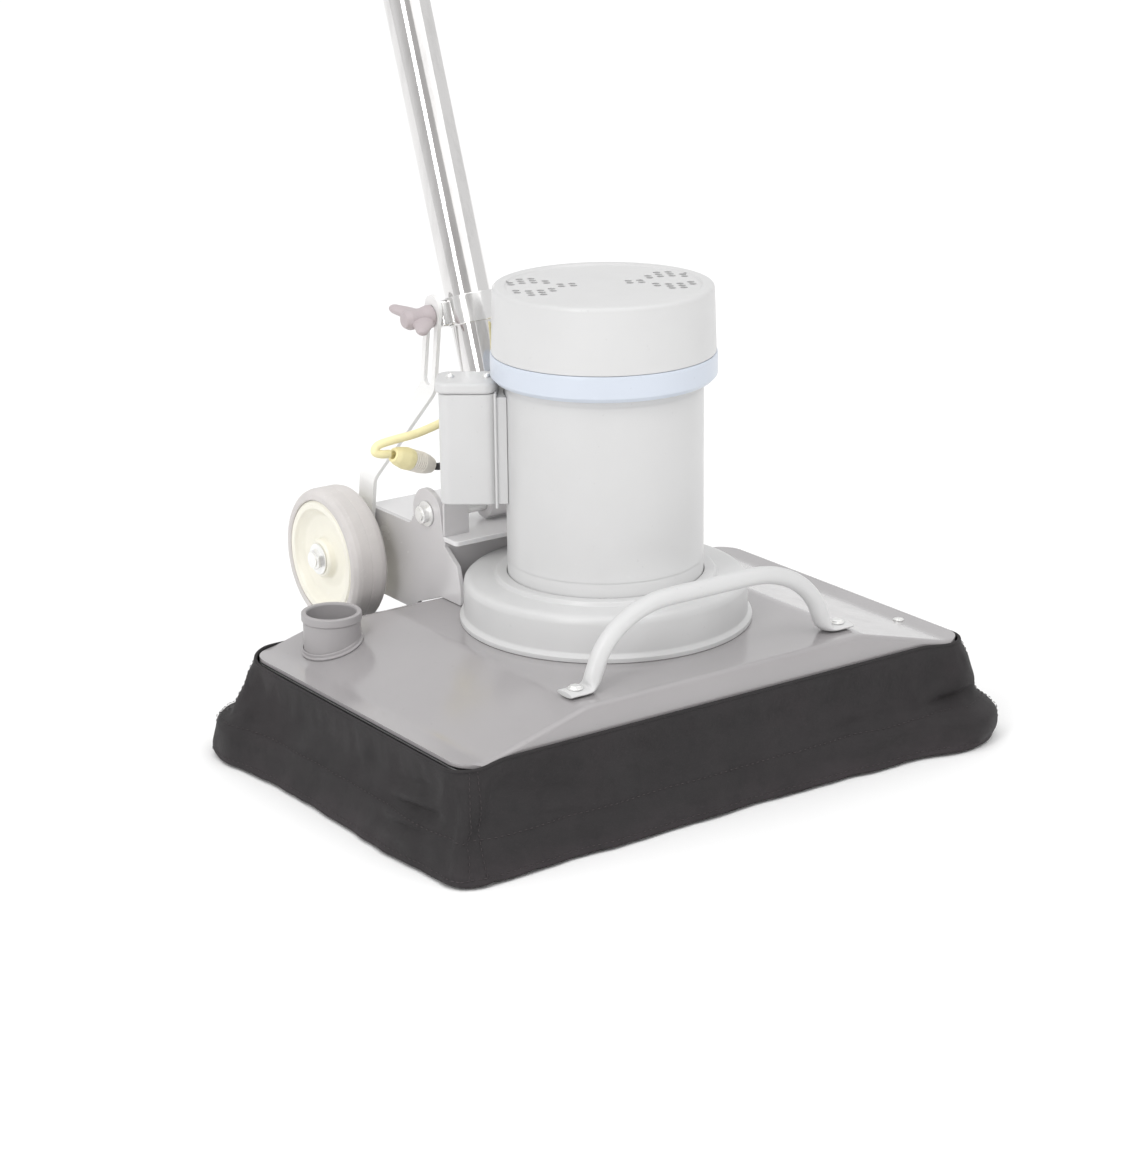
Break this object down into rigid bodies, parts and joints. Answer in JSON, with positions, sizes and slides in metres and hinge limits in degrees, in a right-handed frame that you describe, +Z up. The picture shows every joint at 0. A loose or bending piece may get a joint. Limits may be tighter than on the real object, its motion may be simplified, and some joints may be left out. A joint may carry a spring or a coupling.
{
  "type": "orbital floor machine",
  "caption": "Walk-behind orbital floor machine: upright motor on a wide rectangular deck, cloth dust skirt, vacuum port, transport wheels and a reclining handle.",
  "frame": {"origin": "centre of the pad's working face, on the floor", "axes": "+X to the machine's right, +Y to its rear, where the operator walks, +Z up"},
  "size_m": [0.6292, 0.7687, 1.1364],
  "materials": {
    "grey_paint": "satin light grey paint",
    "deck_paint": "glossy grey enamel",
    "blue_plastic": "satin pale blue",
    "bracket_paint": "satin grey paint",
    "black_fabric": "coated black cloth",
    "chrome": "polished",
    "zinc": "zinc plated",
    "steel": "machined",
    "aluminium": "cast and machined",
    "cast_iron": "as cast",
    "copper": "varnished copper windings",
    "port_plastic": "moulded grey",
    "black_plastic": "fine grained black",
    "tyre_rubber": "grey non-marking rubber",
    "cream_plastic": "moulded cream",
    "knob_plastic": "moulded grey",
    "yellow_lead": "smooth yellow jacket",
    "red_plastic": "moulded red",
    "black_rubber": "matt black",
    "pad_fibre": "open red-brown fibre"
  },
  "bodies": {
    "deck": {"deck_plate": "deck_paint", "dust_skirt": "black_fabric", "skirt_frame": "steel", "vacuum_port": "port_plastic", "grab_handle": "grey_paint", "grab_bolt_left": "zinc", "grab_bolt_right": "zinc", "motor_base": "grey_paint", "motor_barrel": "grey_paint", "band_ring": "blue_plastic", "fan_cover": "grey_paint", "lower_end_bell": "aluminium", "upper_end_bell": "aluminium", "lower_bearing": "steel", "upper_bearing": "steel", "stator_core": "copper", "isolator_front_left": "black_rubber", "isolator_front_right": "black_rubber", "isolator_rear_left": "black_rubber", "isolator_rear_right": "black_rubber", "capacitor_box": "grey_paint", "capacitor_lid": "grey_paint", "start_capacitor": "black_plastic", "lead_plug": "knob_plastic", "handle_lead": "yellow_lead", "motor_lead": "black_rubber", "axle_bracket": "bracket_paint", "wheel_axle": "zinc", "axle_nut_left": "zinc", "axle_nut_right": "zinc", "pivot_bolt": "zinc"},
    "rotor": {"motor_shaft": "steel", "rotor_core": "steel", "cooling_fan": "aluminium", "counterweight": "cast_iron"},
    "driver": {"orbit_bearing": "steel", "driver_plate": "aluminium", "pad_holder": "black_rubber", "floor_pad": "pad_fibre"},
    "left_wheel": {"tyre_left": "tyre_rubber", "hub_left": "cream_plastic"},
    "right_wheel": {"tyre_right": "tyre_rubber", "hub_right": "cream_plastic"},
    "strap": {"tilt_strap": "zinc"},
    "handle": {"handle_tube": "chrome", "pivot_sleeve": "bracket_paint", "tilt_collar": "zinc", "cord_hook_lower": "black_plastic", "cord_hook_upper": "black_plastic", "switch_housing": "black_plastic", "housing_cover": "black_plastic", "power_switch": "black_plastic", "cord_gland": "black_plastic", "handlebar": "steel", "grip_left": "black_rubber", "grip_right": "black_rubber"},
    "triggers": {"trigger_bar": "red_plastic"},
    "lock": {"lock_button": "red_plastic"},
    "knob": {"tilt_knob": "knob_plastic"}
  },
  "joints": [
    {"name": "motor_spin", "type": "hinge", "parent": "deck", "child": "rotor", "pos_m": [0, 0.005, 0.25], "axis": [0, 0, 1], "continuous": true},
    {"name": "plate_orbit", "type": "hinge", "parent": "rotor", "child": "driver", "pos_m": [0.0032, 0.005, 0.0738], "axis": [0, 0, 1], "continuous": true},
    {"name": "left_wheel_spin", "type": "hinge", "parent": "deck", "child": "left_wheel", "pos_m": [-0.132, 0.27, 0.1415], "axis": [1, 0, 0], "continuous": true},
    {"name": "right_wheel_spin", "type": "hinge", "parent": "deck", "child": "right_wheel", "pos_m": [0.132, 0.27, 0.1415], "axis": [1, 0, 0], "continuous": true},
    {"name": "handle_tilt", "type": "hinge", "parent": "deck", "child": "handle", "pos_m": [0, 0.1625, 0.2025], "axis": [-1, 0, 0], "range_deg": [0, 30]},
    {"name": "strap_swing", "type": "hinge", "parent": "deck", "child": "strap", "pos_m": [-0.1, 0.27, 0.1415], "axis": [-1, 0, 0], "range_deg": [0, 21.6]},
    {"name": "knob_turn", "type": "hinge", "parent": "handle", "child": "knob", "pos_m": [-0.055, 0.23504, 0.37201], "axis": [1, 0, 0], "range_deg": [0, 270]},
    {"name": "trigger_squeeze", "type": "hinge", "parent": "handle", "child": "triggers", "pos_m": [0, 0.43965, 1.07503], "axis": [1, 0, 0], "range_deg": [0, 9], "stiffness_Nm_per_rad": 2, "springref_deg": -6.88},
    {"name": "lock_press", "type": "slide", "parent": "handle", "child": "lock", "axis": [0, -0.9426, 0.3338], "range_m": [0, 0.003], "stiffness_N_per_m": 400, "springref_m": -0.003}
  ],
  "couplings": [
    {"joint": "plate_orbit", "follows": "motor_spin", "ratio": -1},
    {"joint": "strap_swing", "follows": "handle_tilt", "ratio": 0.715}
  ]
}
